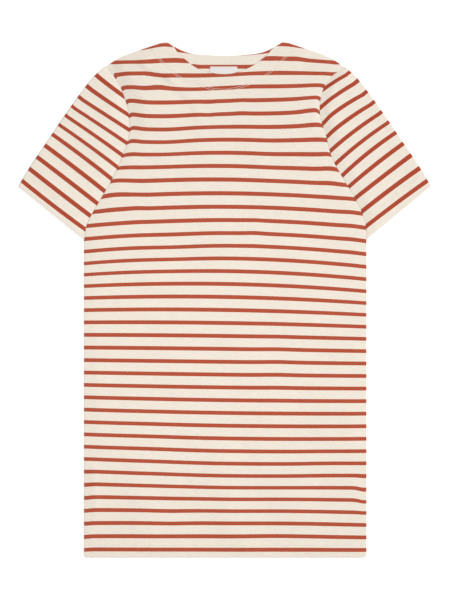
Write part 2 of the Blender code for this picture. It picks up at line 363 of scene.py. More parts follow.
# %% Rolls beside the armholes, and ripples
ARMHOLE_ROLLS = (
    # height, then how far the body stands up beside its right and left seam, and then the sleeves
    (0.555, 0.0003, 0.0003, 0.0003, 0.0010),
    (0.700, 0.0006, 0.0004, 0.0003, 0.0014),
    (0.760, 0.0018, 0.0005, 0.0003, 0.0020),
    (0.800, 0.0034, 0.0006, 0.0003, 0.0024),
    (0.870, 0.0036, 0.0006, 0.0003, 0.0024),
)
BODY_ROLL = (1, 0.034)  # first of its two columns, and the width that it rises over
SLEEVE_ROLL = (3, 0.020)
ROLL_RUNOUT = 0.080  # width over which a roll falls away again
RIPPLES = (
    # ripples per metre across and up, phase, height
    (7.3, 2.1, 0.4, 0.00016),
    (-3.9, 8.7, 2.2, 0.00012),
    (14.6, -6.8, 4.1, 0.00007),
    (11.9, 17.3, 1.3, 0.00005),
)


def armhole_roll(from_seam, across, height, roll):
    """The low ridge beside an armhole seam: it rises away from the seam and then falls gently."""
    column, width = roll
    rise = read_sides(ARMHOLE_ROLLS, across, height, column, column + 1)
    return rise * smooth(from_seam / width) * (1 - smooth((from_seam - width) / ROLL_RUNOUT))


def ripple_rise(across, height):
    """The sum of a few plane waves, too low to see as folds, that keep the cloth from being flat."""
    total = np.zeros(np.shape(across))
    for each_across, each_up, phase, rise in RIPPLES:
        total += rise * np.sin(2 * np.pi * (each_across * across + each_up * height) + phase)
    return total


# %% [markdown]
# ## The stripes' course
# Knitted stripes are straight in the cloth, so where the cloth is pulled, they bend. That is the
# main thing that tells how the dress lies. The bends are kept as a table of how far a stripe has
# dropped at the right side, the centre and the left side, with a parabola across. Small tugs, for
# instance where a crease crosses it, and the curl into the armhole seams are added. Every point then
# knows its place in the cloth, counted in stripes, and keeps it in a UV map that the knit is drawn on.

# %% Bends of the body's stripes
STRIPE_PITCH = 0.02308
FIRST_STRIPE = 0.0130  # height of the lowest stripe's middle
BEND_REACH = 0.245  # the reach that the table's side columns are for
BODY_BENDS = (
    # height, drop at the right, at the centre, at the left
    (0.014, -0.0013, -0.0006, -0.0002),
    (0.060, -0.0024, -0.0021, 0.0009),
    (0.105, -0.0034, 0.0007, 0.0023),
    (0.150, -0.0032, 0.0047, 0.0044),
    (0.200, -0.0009, 0.0065, 0.0070),
    (0.270, 0.0016, 0.0072, 0.0087),
    (0.360, 0.0046, 0.0076, 0.0106),
    (0.430, 0.0059, 0.0070, 0.0136),
    (0.500, 0.0099, 0.0060, 0.0187),
    (0.550, 0.0155, 0.0062, 0.0206),
    (0.600, 0.0171, 0.0067, 0.0202),
    (0.650, 0.0151, 0.0051, 0.0175),
    (0.700, 0.0101, 0.0018, 0.0142),
    (0.750, 0.0080, 0.0004, 0.0040),
    (0.800, 0.0057, 0.0005, -0.0053),
    (0.850, 0.0020, -0.0005, -0.0080),
    (0.900, -0.0040, 0.0000, -0.0080),
)
print("stripes from hem to shoulder:", int((LENGTH - FIRST_STRIPE) / STRIPE_PITCH) + 1)

# %% Tugs, and curls at the armholes
TUGS = (
    # across, height, half width, half height, further drop
    (-0.100, 0.912, 0.038, 0.028, -0.0066),  # up to the neck points
    (0.092, 0.908, 0.034, 0.034, -0.0066),
    (0.195, 0.893, 0.034, 0.018, 0.0045),  # down over the shoulder tips
    (-0.180, 0.893, 0.046, 0.010, 0.0022),
    (-0.145, 0.866, 0.014, 0.009, -0.0022),  # over the creases of the upper chest
    (-0.122, 0.850, 0.026, 0.010, -0.0022),
    (-0.055, 0.850, 0.036, 0.014, 0.0018),
    (0.045, 0.866, 0.030, 0.010, -0.0015),
    (-0.172, 0.835, 0.024, 0.050, -0.0036),  # up beside the armholes, and down further in
    (-0.105, 0.765, 0.045, 0.048, 0.0028),
    (-0.195, 0.672, 0.030, 0.032, -0.0038),
    (0.165, 0.790, 0.022, 0.038, -0.0026),
    (0.190, 0.712, 0.020, 0.035, -0.0026),
    (0.085, 0.745, 0.045, 0.055, 0.0017),
    (-0.092, 0.572, 0.060, 0.042, 0.0018),
    (0.228, 0.640, 0.020, 0.070, -0.0010),
    (-0.102, 0.931, 0.028, 0.012, -0.0024),  # and once more at the very points of the neck
    (0.106, 0.931, 0.028, 0.012, -0.0024),
    (-0.160, 0.868, 0.030, 0.008, -0.0016),  # steps where the stripes cross the shoulder's creases
    (-0.105, 0.866, 0.014, 0.009, 0.0012),
    (-0.118, 0.846, 0.017, 0.010, -0.0018),
    (0.050, 0.844, 0.036, 0.010, -0.0013),
    (0.183, 0.846, 0.010, 0.010, 0.0019),
    (0.030, 0.808, 0.016, 0.018, -0.0012),
    (-0.029, 0.808, 0.013, 0.018, 0.0011),
    (0.150, 0.806, 0.022, 0.020, -0.0014),
    (0.080, 0.8985, 0.014, 0.010, -0.0012),
    (-0.082, 0.8930, 0.014, 0.010, -0.0009),
    (-0.165, 0.765, 0.013, 0.050, -0.0018),
    (0.130, 0.892, 0.016, 0.010, -0.0020),
    (0.172, 0.867, 0.026, 0.010, 0.0016),
    (0.200, 0.868, 0.010, 0.012, 0.0018),
    (-0.160, 0.642, 0.018, 0.022, -0.0013),
    (0.054, 0.595, 0.018, 0.024, -0.0010),
    (0.095, 0.355, 0.034, 0.055, -0.0009),
    (0.185, 0.170, 0.055, 0.030, -0.0009),
    (-0.098, 0.072, 0.036, 0.028, 0.0011),
    (0.105, 0.033, 0.070, 0.012, -0.0010),
    (-0.140, 0.180, 0.070, 0.070, -0.0008),
    (0.130, 0.090, 0.070, 0.060, -0.0009),
    (-0.116, 0.908, 0.024, 0.011, -0.0026),  # up where the top stripe runs out at the neck points
    (0.122, 0.908, 0.030, 0.011, -0.0026),
    (0.205, 0.887, 0.014, 0.010, 0.0024),  # down at the left shoulder's tip
    (0.190, 0.866, 0.012, 0.008, 0.0014),
    (0.060, 0.887, 0.018, 0.009, -0.0026),  # beside the neck's edge
    (-0.060, 0.887, 0.016, 0.009, -0.0008),
    (-0.134, 0.871, 0.014, 0.007, -0.0012),
    (-0.252, 0.110, 0.012, 0.045, 0.0022),  # down at the side seams
    (-0.256, 0.030, 0.013, 0.030, 0.0014),
    (0.252, 0.118, 0.013, 0.030, 0.0042),
)
CURL_WIDTH = 0.008
CURLS = (
    # height, then how far a stripe's end drops where it goes into the right and the left armhole seam
    (0.580, 0.0000, 0.0000),
    (0.680, 0.0008, 0.0004),
    (0.730, 0.0022, 0.0012),
    (0.760, 0.0032, 0.0004),
    (0.785, 0.0032, 0.0022),
    (0.803, 0.0028, 0.0044),
    (0.826, 0.0026, 0.0034),
    (0.847, 0.0030, 0.0014),
    (0.870, 0.0046, 0.0000),
)
print(len(TUGS), "tugs")


# %% Each point's place in the cloth
def body_drop(across, height):
    """How far the stripe that lies here has dropped from its even place: the table, and the tugs."""
    side = across / BEND_REACH
    right, centre, left = (read(BODY_BENDS, height, column) for column in (1, 2, 3))
    drop = centre + (left - right) / 2 * side + ((left + right) / 2 - centre) * side**2
    for tug_across, tug_height, half_width, half_height, further in TUGS:
        pull = further * bell(across - tug_across, half_width)
        drop += pull * bell(height - tug_height, half_height)
    return drop


def side_distance(across, height):
    """How far a point is inside the nearer side edge, straight across."""
    right = side_reach(height, RIGHT) + across
    left = side_reach(height, LEFT) - across
    return np.clip(np.minimum(right, left), 0, None)


def body_cloth(across, height, curled):
    """Each point's place in the cloth of a panel, across and up, counted in stripes.

    The table is read at even places, so the drop is looked up twice: first where the point is, and
    then where its stripe would have been.
    """
    drop = body_drop(across, height + body_drop(across, height))
    if curled:
        near = np.clip(1 - side_distance(across, height) / CURL_WIDTH, 0, 1)
        drop += near**2 * read_sides(CURLS, across, height)
    return np.stack([across, height + drop - FIRST_STRIPE], axis=-1) / STRIPE_PITCH


# %% [markdown]
# ## A shell between two grids
# A sheet of cloth could be one surface, but a real one has a thickness and a rounded edge, and a
# closed mesh can be cut, printed and weighed. The shell here has an outer grid, an inner grid and a
# rim: round the border, a half circle leads from one grid to the other, with three points between.

# %% Shells
RIM_ANGLES = np.radians([45, 90, 135])


def surface_normals(points):
    """The cross product of a grid's steps along its columns and its rows, at every point."""
    return unit(np.cross(np.gradient(points, axis=1), np.gradient(points, axis=0)))


def make_object(name, vertices, faces, material):
    """An object at the origin, with its mesh shaded smooth."""
    mesh = bpy.data.meshes.new(name)
    mesh.from_pydata(vertices.tolist(), [], faces)
    mesh.shade_smooth()
    mesh.materials.append(material)
    piece = bpy.data.objects.new(name, mesh)
    bpy.context.scene.collection.objects.link(piece)
    return piece


def make_shell(name, outer, inner, cloth, material):
    """A closed shell whose faces point outwards; cloth is each grid point's place in the cloth.

    The rim's points are the middle between the grids, plus the half thickness times the angle's
    cosine towards the outer grid, plus the half thickness times its sine away from the shell.
    """
    rows, columns = outer.shape[:2]
    index = np.arange(rows * columns).reshape(rows, columns)
    border = np.concatenate([index[0], index[1:, -1], index[-1, -2::-1], index[-2:0:-1, 0]])
    outer, inner, cloth = outer.reshape(-1, 3), inner.reshape(-1, 3), cloth.reshape(-1, 2)
    middle = (outer + inner)[border] / 2
    half = (outer - inner)[border] / 2
    run = np.roll(middle, -1, axis=0) - np.roll(middle, 1, axis=0)
    outwards = unit(np.cross(run, half)) * np.linalg.norm(half, axis=1, keepdims=True)
    rings = [middle + half * np.cos(angle) + outwards * np.sin(angle) for angle in RIM_ANGLES]
    vertices = np.concatenate([outer, *rings, inner])

    cells = np.stack([index[:-1, :-1], index[:-1, 1:], index[1:, 1:], index[1:, :-1]], axis=-1)
    cells = cells.reshape(-1, 4)
    starts = len(outer) + len(border) * np.arange(len(rings) + 1)
    under = starts[-1]
    lines = [border, *(starts[:-1, None] + np.arange(len(border))), border + under]
    rim = [
        np.stack([high, low, np.roll(low, -1), np.roll(high, -1)], axis=-1)
        for high, low in zip(lines[:-1], lines[1:])
    ]
    faces = np.concatenate([cells, *rim, cells[:, ::-1] + under])
    piece = make_object(name, vertices, faces.tolist(), material)

    places = np.concatenate([cloth, *[cloth[border]] * len(rings), cloth])
    corner_vertices = np.empty(len(piece.data.loops), dtype=np.int32)
    piece.data.loops.foreach_get("vertex_index", corner_vertices)
    uv_map = piece.data.uv_layers.new(name="cloth")
    uv_map.data.foreach_set("uv", places[corner_vertices].astype(np.float32).ravel())
    print(name, "has", len(faces), "faces")
    return piece


def make_cloth(name, outer, thickness, cloth, material):
    """A shell whose inner grid is the outer one, moved along its normals by the thickness."""
    return make_shell(name, outer, outer - surface_normals(outer) * thickness, cloth, material)


# %% [markdown]
# ## Jersey
# Jersey is one yarn in interlocked loops. On its face the loops show as columns of small Vs, called
# wales, in rows called courses, and a stripe is some courses of another yarn. The pattern could be
# an image, but one formula on the cloth's own coordinates stays sharp at any distance: a triangle
# wave across each wale gives the two legs of the V, and the course that a point is in, moved by its
# place on the leg, says both the loop's height and the colour of its yarn. So the edge of a stripe
# follows the loops, as it does in real knitting. The colour is darkened where the loops are low, as
# painted shade, and the sleeves' red is mixed a little deeper, as painted shade too.

# %% Nodes for materials
def set_inputs(tree, node, values):
    """Link each input of a node to an output of another, or set it to a constant."""
    for socket, value in values.items():
        if isinstance(value, bpy.types.NodeSocket):
            tree.links.new(value, node.inputs[socket])
        else:
            node.inputs[socket].default_value = value


def add_node(tree, kind, values, **settings):
    """A new node. Its settings are made first, because they decide which inputs it has."""
    node = tree.nodes.new("ShaderNode" + kind)
    for setting, value in settings.items():
        setattr(node, setting, value)
    set_inputs(tree, node, values)
    return node


def calculate(tree, operation, *values):
    """A Math node of numbers and of other nodes' outputs."""
    return add_node(tree, "Math", dict(enumerate(values)), operation=operation).outputs[0]


def product(tree, value, *factors):
    """A value multiplied by one factor after another."""
    for factor in factors:
        value = calculate(tree, "MULTIPLY", value, factor)
    return value


def between(tree, value, low, high):
    """low where the value is 0 and high where it is 1."""
    return calculate(tree, "MULTIPLY_ADD", value, high - low, low)


def noise(tree, vector, spots, detail=2.0):
    """Soft random values round 0.5, with so many spots to a unit along each part of the vector."""
    spread = add_node(tree, "VectorMath", {0: vector, 1: spots}, operation="MULTIPLY").outputs[0]
    values = {"Vector": spread, "Scale": 1.0, "Detail": detail}
    return add_node(tree, "TexNoise", values).outputs["Fac"]


def shade(tree, colour, factor):
    """The colour made lighter or darker by a factor."""
    return add_node(tree, "VectorMath", {0: colour, "Scale": factor}, operation="SCALE").outputs[0]


def tilt(tree, height, distance, strength):
    """The normal, tilted by the slope of a height, for relief that is too fine to model."""
    values = {"Height": height, "Distance": distance, "Strength": strength}
    return add_node(tree, "Bump", values).outputs["Normal"]


def make_material(name, recipe, *choices):
    """A Principled material; the recipe works out its inputs on the material's node tree."""
    material = bpy.data.materials.new(name)
    material.use_nodes = True
    tree = material.node_tree
    set_inputs(tree, tree.nodes["Principled BSDF"], recipe(tree, *choices))
    return material


def cloth_place(tree):
    """The cloth's own coordinates, with their part across and their part up."""
    place = add_node(tree, "UVMap", {}, uv_map="cloth").outputs[0]
    parts = add_node(tree, "SeparateXYZ", {0: place})
    return place, parts.outputs[0], parts.outputs[1]


# %% The jersey
CREAM = (0.869, 0.787, 0.682)
RED = (0.456, 0.0795, 0.0370)
SHADED_SLEEVE_RED = (0.427, 0.0612, 0.0253)  # painted shade: the sleeves' red is mixed deeper, as their loops turn away from the light
COURSES = 42  # rows of loops to one repeat of the stripes
RED_COURSES = 13  # of them in the red yarn
WALES = 30  # columns of loops across the same length
LEG_SLANT = 0.55  # how many courses a leg of the V runs down
UNEVENNESS = (
    # spots across and up to each repeat of the stripes, darkest, lightest
    (0.35, 0.35, 0.97, 1.03),  # clouds
    (1.6, 13.0, 0.89, 1.11),  # streaks along the courses
    (0.7 * WALES, 0.7 * COURSES, 0.94, 1.06),  # single loops
)


def knit(tree, red):
    """Loops are high along the middle of a leg, by a sine across it, and low where courses meet.

    A course is red if its number, divided by the courses of a repeat, is nearer to a whole number
    than half the red share.
    """
    place, across, up = cloth_place(tree)
    leg = product(tree, calculate(tree, "PINGPONG", product(tree, across, WALES), 0.5), 2.0)
    course = calculate(tree, "MULTIPLY_ADD", leg, -LEG_SLANT, product(tree, up, COURSES))
    along = product(tree, calculate(tree, "PINGPONG", course, 0.5), 2.0)
    yarn = calculate(tree, "SINE", product(tree, leg, np.pi))
    loops = product(tree, yarn, between(tree, along, 1.0, 0.45))

    counted = calculate(tree, "DIVIDE", calculate(tree, "ROUND", course), COURSES)
    from_red = calculate(tree, "PINGPONG", counted, 0.5)
    is_red = calculate(tree, "LESS_THAN", from_red, RED_COURSES / 2 / COURSES)
    yarns = {"A": (*CREAM, 1), "B": (*red, 1), "Factor": is_red}
    colour = add_node(tree, "Mix", yarns, data_type="RGBA").outputs["Result"]

    # painted shade: the colour is darkened where the loops are low, in the hollows between them; the
    # unevenness below is the yarn's own tone, which differs at random
    tone = between(tree, loops, 0.88, 1.04)
    for *spots, darkest, lightest in UNEVENNESS:
        tone = product(tree, tone, between(tree, noise(tree, place, (*spots, 1)), darkest, lightest))
    fibres = noise(tree, place, (5 * WALES, 3 * COURSES, 1), detail=3.0)
    height = calculate(tree, "MULTIPLY_ADD", fibres, 0.35, loops)
    return {
        "Base Color": shade(tree, colour, tone),
        "Roughness": between(tree, fibres, 0.78, 0.95),
        "Normal": tilt(tree, height, 0.00015, 0.55),
        "Specular IOR Level": 0.25,
        "Sheen Weight": 0.12,
        "Sheen Roughness": 0.5,
    }


jersey = make_material("striped_jersey", knit, RED)
shaded_sleeve_jersey = make_material("shaded_sleeve_jersey", knit, SHADED_SLEEVE_RED)
for word, count in (("wale", WALES), ("course", COURSES)):
    print("a", word, "takes", round(1000 * STRIPE_PITCH / count, 2), "mm")

# %% [markdown]
# ## The front panel
# Its hem is turned up and held by two rows of stitches, which pull small grooves into it, and its
# neck edge is faced, with two more rows that run round it. It steps up where the facing of the neck
# lies under it, and a little more over the label. Along the side seams, the armholes and the
# shoulders it goes down to the seam. It could be sculpted, but all of this is a height above each
# flat point, so a formula of across and height gives the whole surface and is easy to alter.

# %% Distances that shape the front
NECK_STITCHING = (
    # reach, height of the inner row at the right and at the left
    (0.000, 0.8421, 0.8421),
    (0.020, 0.8437, 0.8452),
    (0.037, 0.8483, 0.8503),
    (0.060, 0.8557, 0.8600),
    (0.081, 0.8655, 0.8740),
    (0.100, 0.8807, 0.8928),
    (0.120, 0.9010, 0.9128),
    (0.150, 0.9315, 0.9425),
)
NECK_STITCH_ROWS = (0.0, 0.003)  # distances of the rows from the inner one
SEAM_MARGIN = 0.002  # stitches end so far from a seam
GROOVE_REACH = 0.02  # so far below its lowest point a row's groove has long run out


def neck_stitch_line(row):
    """The inner row of stitches moved outwards, square to itself, as far as the shoulder seams."""
    end = NECK_STITCHING[-1][0]
    across = np.linspace(-end, end, 361)
    line = beside(np.stack([across, neck_height(across, NECK_STITCHING)], axis=-1), row)
    return line[line[:, 1] < read(SHOULDER, np.abs(line[:, 0])) - SEAM_MARGIN]


def distance_to_line(across, height, line):
    """The least distance to a row of points that lie close together, and 1 far below them."""
    gap = np.full(np.shape(across), 1.0)
    near = height > line[:, 1].min() - GROOVE_REACH
    apart = np.hypot(across[near][:, None] - line[:, 0], height[near][:, None] - line[:, 1])
    gap[near] = apart.min(axis=1)
    return gap


def facing_edge(across):
    """The lower edge of the back neck's facing: flat at the centre and rising to the shoulder seam."""
    end = NECK_HALF + FACING_SHOULDER
    low = BACK_NECK[0][1] - FACING_DEPTH
    return low + (read(SHOULDER, end) - low) * (np.abs(across) / end) ** FACING_SWEEP


# %% Relief of the sewing
GROOVE = 0.00030  # depth of the groove that a row of stitches pulls in
GROOVE_HALF = 0.0011
NECK_GROOVE_HALF = 1.6 * GROOVE_HALF  # the neck's are wider, over its thicker facings
HEM_STEP = 0.0003  # a turned-up hem stands this much higher than the single cloth
STEP_WIDTH = 0.002
PUCKER = 0.00012  # height of the small waves that the stitching gathers up
PUCKER_HALF = 0.012
SEAM_SINK = 0.0006  # depth to which the edge of a seam rolls down
SEAM_HALF = 0.003


def grooves(distance, rows):
    """Depth of the grooves of some rows of stitches: a bell of the distance to each row."""
    return sum(GROOVE * bell(distance - row, GROOVE_HALF) for row in rows)


def hem_relief(distance, rows, step, pucker):
    """A hem, by the distance from its edge: a step at its inner row, puckers there, and grooves."""
    level = step * smooth((rows[1] + STEP_WIDTH / 2 - distance) / STEP_WIDTH)
    return level + PUCKER * pucker * bell(distance - rows[1], PUCKER_HALF) - grooves(distance, rows)


# %% The front's surface
HEM_PUCKERS = (0.0165, 0.071, 1.7)  # their wave length, and the length and strength of its drift
ARMHOLE_START = 0.01  # above the underarm, the height over which its seam's relief sets in


def shoulder_distance(across, height):
    """How far below the shoulder seam a point is; inside the neck points it is never near."""
    reach = np.abs(across)
    return read(SHOULDER, reach) - height + np.maximum(NECK_HALF - reach, 0)


def front_top(across, height):
    """Height of the front's outer face above the surface that the dress lies on."""
    side = side_distance(across, height)
    shoulder = shoulder_distance(across, height)
    inside = smooth(side / ROLL) * smooth(height / ROLL) * smooth(shoulder / ROLL)
    over_facing = smooth((height - facing_edge(across) + FACING_MARGIN) / FACING_PRINT + 1)
    past_label = np.hypot(
        (across - LABEL_CENTRE) / LABEL_RISE_REACH[0],
        (height - FRONT_NECK[0][1]) / LABEL_RISE_REACH[1],
    )
    relief = PUFF + crease_rise(across, height) + ripple_rise(across, height)
    level = 2 * CLOTH + GAP + inside * relief
    level += over_facing * (FACING + GAP) + LABEL_RISE * bell(past_label, 1)
    level -= (GAP - TOUCH) * np.maximum(bell(side, SEAM_HALF), bell(shoulder, SEAM_HALF))

    armhole = smooth((height - UNDERARM_HEIGHT) / ARMHOLE_START)
    level += armhole * armhole_roll(side, across, height, BODY_ROLL) * smooth(shoulder / ROLL)
    level -= (SEAM_SINK - GAP) * armhole * bell(side, SEAM_HALF) * (1 - smooth(side / ROLL))

    wave, drift, strength = HEM_PUCKERS
    pucker = np.sin(2 * np.pi * across / wave + strength * np.sin(2 * np.pi * across / drift))
    level += hem_relief(height, HEM_STITCHES, HEM_STEP * smooth(height / ROLL), pucker)
    for row in NECK_STITCH_ROWS:
        from_row = distance_to_line(across, height, neck_stitch_line(row))
        level -= GROOVE * bell(from_row, NECK_GROOVE_HALF)
    return level


front_flat = panel_grid(front_columns, front_heights, FRONT_NECK)
front_level = front_top(*front_flat)
front_place = body_cloth(*front_flat, curled=True)
front_cloth = make_cloth("front_cloth", in_frame(*front_flat, front_level), CLOTH, front_place, jersey)
print("the front stands up to", round(1000 * front_level.max(), 1), "mm high")

# %% [markdown]
# ## The back panel
# It could be a mirrored copy of the front, but its neck is higher. It lies flat on the surface, so
# its underside, which is the outside of the dress, has no relief but the grooves of the hem's
# stitches.

# %% The back
back_flat = panel_grid(back_columns, back_heights, BACK_NECK)
back_top = in_frame(*back_flat, CLOTH)
back_under = in_frame(*back_flat, grooves(back_flat[1], HEM_STITCHES))
back_place = body_cloth(*back_flat, curled=False)
back_cloth = make_shell("back_cloth", back_top, back_under, back_place, jersey)

# %% [markdown]
# ## The sleeves
# A sleeve is one piece of cloth, closed to a tube and set into the armhole. Laid flat, it is a lower
# layer, a fold on the outer edge and an upper layer. Two flat panels would leave a seam at the fold,
# so one grid runs all round. It has a column for each step round the tube and a row for each line
# parallel to the cuff, so the cuff's hem and its stitches follow rows.
# Places in the sleeve are told as the distance up the sleeve from the cuff's edge, and the distance
# along the cuff from its outer corner.

# %% The sleeves' own directions
cuff_corner = np.array([CUFF_REACH, CUFF_HEIGHT])
along_cuff = unit(np.array([BODY_HALF, UNDERARM_HEIGHT]) - cuff_corner)
up_sleeve = np.array([along_cuff[1], -along_cuff[0]])
SLEEVE_START = 0.0032  # how far above the underarm the cuff's edge meets the armhole
SLEEVE_SKEW = 0.030  # width above that edge over which the rows turn parallel to the straight cuff
SLEEVE_END = 0.0008  # how far below the shoulder tip the last row meets the armhole

fold_heights = np.linspace(CUFF_HEIGHT, TIP_HEIGHT, 200)
fold_points = np.stack([read(SLEEVE_FOLD, fold_heights), fold_heights], axis=-1)
fold_ups = (fold_points - cuff_corner) @ up_sleeve
print("a sleeve is", round(1000 * fold_ups[-1], 1), "mm long, square to its cuff")


def along_line(at, places, points):
    """Points of a line, read between its own points, whose places along it are given."""
    return np.stack([np.interp(at, places, part) for part in points.T], axis=-1)


def sleeve_rows(side):
    """For each row of a sleeve, how far it is from the cuff's edge, and its points on fold and seam.

    The edge itself slants up a little to the seam, and that slant fades out over the next rows.
    Further up the rows turn once more, so that both ends reach the shoulder tip together.
    """
    seam = side_edge(armhole_heights, side, RIM + TOUCH)
    heights = seam[:, 1].copy()
    heights[0] += SLEEVE_START
    heights[-1] -= SLEEVE_END
    seam = along_line(heights, seam[:, 1], seam)
    share = np.linspace(0, 1, len(seam))
    even = RIM + (fold_ups[-1] - RIM) * share
    seam_ups = (seam - cuff_corner) @ up_sleeve
    skew = (seam_ups[0] - RIM) * (1 - smooth((seam_ups - seam_ups[0]) / SLEEVE_SKEW))
    ups = np.minimum((seam_ups - skew) * (1 - share) + even * share, fold_ups[-1])
    return ups, along_line(ups, fold_ups, fold_points), seam


# %% Bends of the sleeves' stripes
SLEEVE_FIRST_STRIPE = 0.012
SLEEVE_BEND_STEP = 0.060  # the tables' columns are so far apart along the cuff
SLEEVE_BEND_RANGE = (-0.2, 2.4)  # and so many steps along it the bends go on
RIGHT_SLEEVE_BENDS = (
    # distance up the sleeve, then how much further up the stripe lies at three places along the cuff
    (0.012, -0.0010, 0.0007, 0.0040),
    (0.060, 0.0038, 0.0068, 0.0093),
    (0.105, 0.0070, 0.0110, 0.0134),
    (0.150, 0.0027, 0.0086, 0.0130),
    (0.200, -0.0027, 0.0050, 0.0134),
    (0.245, 0.0003, 0.0046, 0.0130),
    (0.270, 0.0050, 0.0080, 0.0130),
)
LEFT_SLEEVE_BENDS = (
    (0.012, -0.0008, 0.0038, 0.0070),
    (0.035, 0.0030, 0.0075, 0.0100),
    (0.060, 0.0080, 0.0110, 0.0130),
    (0.105, 0.0112, 0.0143, 0.0122),
    (0.150, 0.0102, 0.0144, 0.0134),
    (0.200, 0.0102, 0.0170, 0.0145),
    (0.222, 0.0120, 0.0170, 0.0145),
    (0.245, 0.0100, 0.0162, 0.0145),
)
SLEEVE_TUG = (0.176, 0.778, 0.011, 0.030, 0.0026)  # down beside the left armhole, as in TUGS


def sleeve_shift(up, along, bends):
    """How much further up than its even place a stripe lies: a parabola through three columns."""
    near, middle, far = (read(bends, up, column) for column in (1, 2, 3))
    step = np.clip(along / SLEEVE_BEND_STEP, *SLEEVE_BEND_RANGE)
    return near + (middle - near) * step + (far - 2 * middle + near) * step * (step - 1) / 2


def sleeve_cloth(up, along, turned, bends, tug):
    """Each point's place in the sleeve's cloth, counted in stripes; turned is the place round it."""
    even = up - sleeve_shift(up, along, bends)
    even = up - sleeve_shift(even, along, bends) + tug
    return np.stack([turned, even - SLEEVE_FIRST_STRIPE], axis=-1) / STRIPE_PITCH


# %% The sleeves' surface
SEAM_CROWDING = 1.25
LAYER_SHARES = 1 - np.linspace(1, 0, 41) ** SEAM_CROWDING  # across a layer, from fold to seam
FOLD_ANGLES = np.radians(np.linspace(0, 180, 13))
FOLD_BLEND = 3 * FOLD_RADIUS  # width beside the fold over which a layer takes on its own height
CUFF_PUCKERS = (0.0155, 1.3)  # their wave length and phase


def sleeve_top(up, from_seam, room, across, height):
    """Height of the upper layer: from the seam it rises to the level of the fold, room further on."""
    low, high = 2 * CLOTH + GAP, 2 * FOLD_RADIUS
    risen = smooth(from_seam / ROLL)
    sunk = SEAM_SINK * bell(from_seam, SEAM_HALF)
    creased = crease_rise(across, height) + ripple_rise(across, height)
    level = low + (high - low) * risen + risen * smooth(up / ROLL) * creased
    roll = armhole_roll(from_seam, across, height, SLEEVE_ROLL)
    level += roll * smooth(up / ROLL) * smooth(room / ROLL)
    pucker = np.sin(2 * np.pi * from_seam / CUFF_PUCKERS[0] + CUFF_PUCKERS[1])
    level += hem_relief(up, CUFF_STITCHES, HEM_STEP, pucker) * risen
    return level - sunk * (1 - risen)


# %% The sleeves' grids
def make_sleeve(name, sign, side, bends):
    """A closed shell round the sleeve; sign is +1 on the wearer's left.

    A row goes from the seam along the lower layer to the fold, half round it, and back to the seam
    along the upper layer. Distances are measured from the fold's line towards the seam.
    """
    row_ups, fold, seam = sleeve_rows(side)
    width = np.linalg.norm(seam - fold, axis=1)[:, None]
    inwards = unit(seam - fold)
    layer = FOLD_RADIUS + (width - FOLD_RADIUS) * LAYER_SHARES
    around = np.ones((len(fold), 1)) * FOLD_ANGLES[1:-1]
    bend, turn = FOLD_RADIUS * (1 - np.sin(around)), FOLD_RADIUS * (1 - np.cos(around))
    distance = np.concatenate([layer[:, ::-1], bend, layer], axis=1)
    flat = fold[:, None] + inwards[:, None] * distance[..., None]
    up, along = (flat - cuff_corner) @ up_sleeve, (flat - cuff_corner) @ along_cuff

    half = len(LAYER_SHARES)
    across, height = sign * flat[:, -half:, 0], flat[:, -half:, 1]
    upper = sleeve_top(row_ups[:, None], width - layer, layer, across, height)
    blend = smooth((layer - FOLD_RADIUS) / FOLD_BLEND)
    upper = 2 * FOLD_RADIUS + (upper - 2 * FOLD_RADIUS) * blend
    lower = grooves(row_ups[:, None], CUFF_STITCHES) * blend[:, ::-1]
    outer = in_frame(sign * flat[..., 0], flat[..., 1], np.concatenate([lower, turn, upper], axis=1))

    turned = np.concatenate([-layer[:, ::-1], 0 * bend, layer], axis=1)
    tug = SLEEVE_TUG[-1] * bell(flat[..., 0] - SLEEVE_TUG[0], SLEEVE_TUG[2])
    tug *= bell(flat[..., 1] - SLEEVE_TUG[1], SLEEVE_TUG[3]) * (sign > 0)
    cloth = sleeve_cloth(up, along, turned, bends, tug)
    if sign > 0:
        outer, cloth = outer[:, ::-1], cloth[:, ::-1]
    piece = make_cloth(name, outer, CLOTH, cloth, shaded_sleeve_jersey)
    return piece, 2 * area_of(flat[:, :half, 0], flat[:, :half, 1])


right_sleeve, right_area = make_sleeve("right_sleeve_cloth", -1, RIGHT, RIGHT_SLEEVE_BENDS)
left_sleeve, left_area = make_sleeve("left_sleeve_cloth", 1, LEFT, LEFT_SLEEVE_BENDS)

# %% [markdown]
# ## Inside the neck
# The facing is a strip of the same jersey, sewn along the back neck's edge and turned inside. It was
# cut on its own, so its stripes don't meet those of the panels. The label is a smooth woven tape,
# folded double and sewn on the facing. It is left blank.

# %% The facing of the back neck
FACING_STRIPE = 0.8824  # height of the stripe behind the label
FACING_LIFTS = (
    # reach, then how far the upper stripe lies above its even place to the right and to the left
    (0.000, 0.0000, 0.0000),
    (0.030, 0.0012, 0.0006),
    (0.046, 0.0024, 0.0013),
    (0.060, 0.0027, 0.0015),
    (0.072, 0.0039, 0.0029),
    (0.082, 0.0051, 0.0046),
    (0.090, 0.0071, 0.0069),
    (0.106, 0.0117, 0.0117),
    (0.143, 0.0187, 0.0187),
)
FACING_LIFT_FROM = 0.889  # the height where these lifts set in
FACING_LIFT_OVER = 0.010  # and over how much of it
FACING_OUTER_LIFT = 0.0013  # one more lift, at any height
FACING_OUTER_FROM = 0.044  # the reach where that one sets in
FACING_OUTER_OVER = 0.014
FACING_INSET = -0.0002  # it is rolled a hair's breadth over the edge of the back


def facing_grid(columns, rows):
    """Across and height of the facing, from the neck's edge down to its own lower edge."""
    inset = FACING_INSET + FACING / 2
    upper_x = (NECK_HALF - inset) * columns
    lower_x = (NECK_HALF + FACING_SHOULDER - inset) * columns
    upper_y = neck_height(upper_x, BACK_NECK) - inset
    lower_y = facing_edge(lower_x) - inset * columns**2
    return upper_x + (lower_x - upper_x) * rows, upper_y + (lower_y - upper_y) * rows


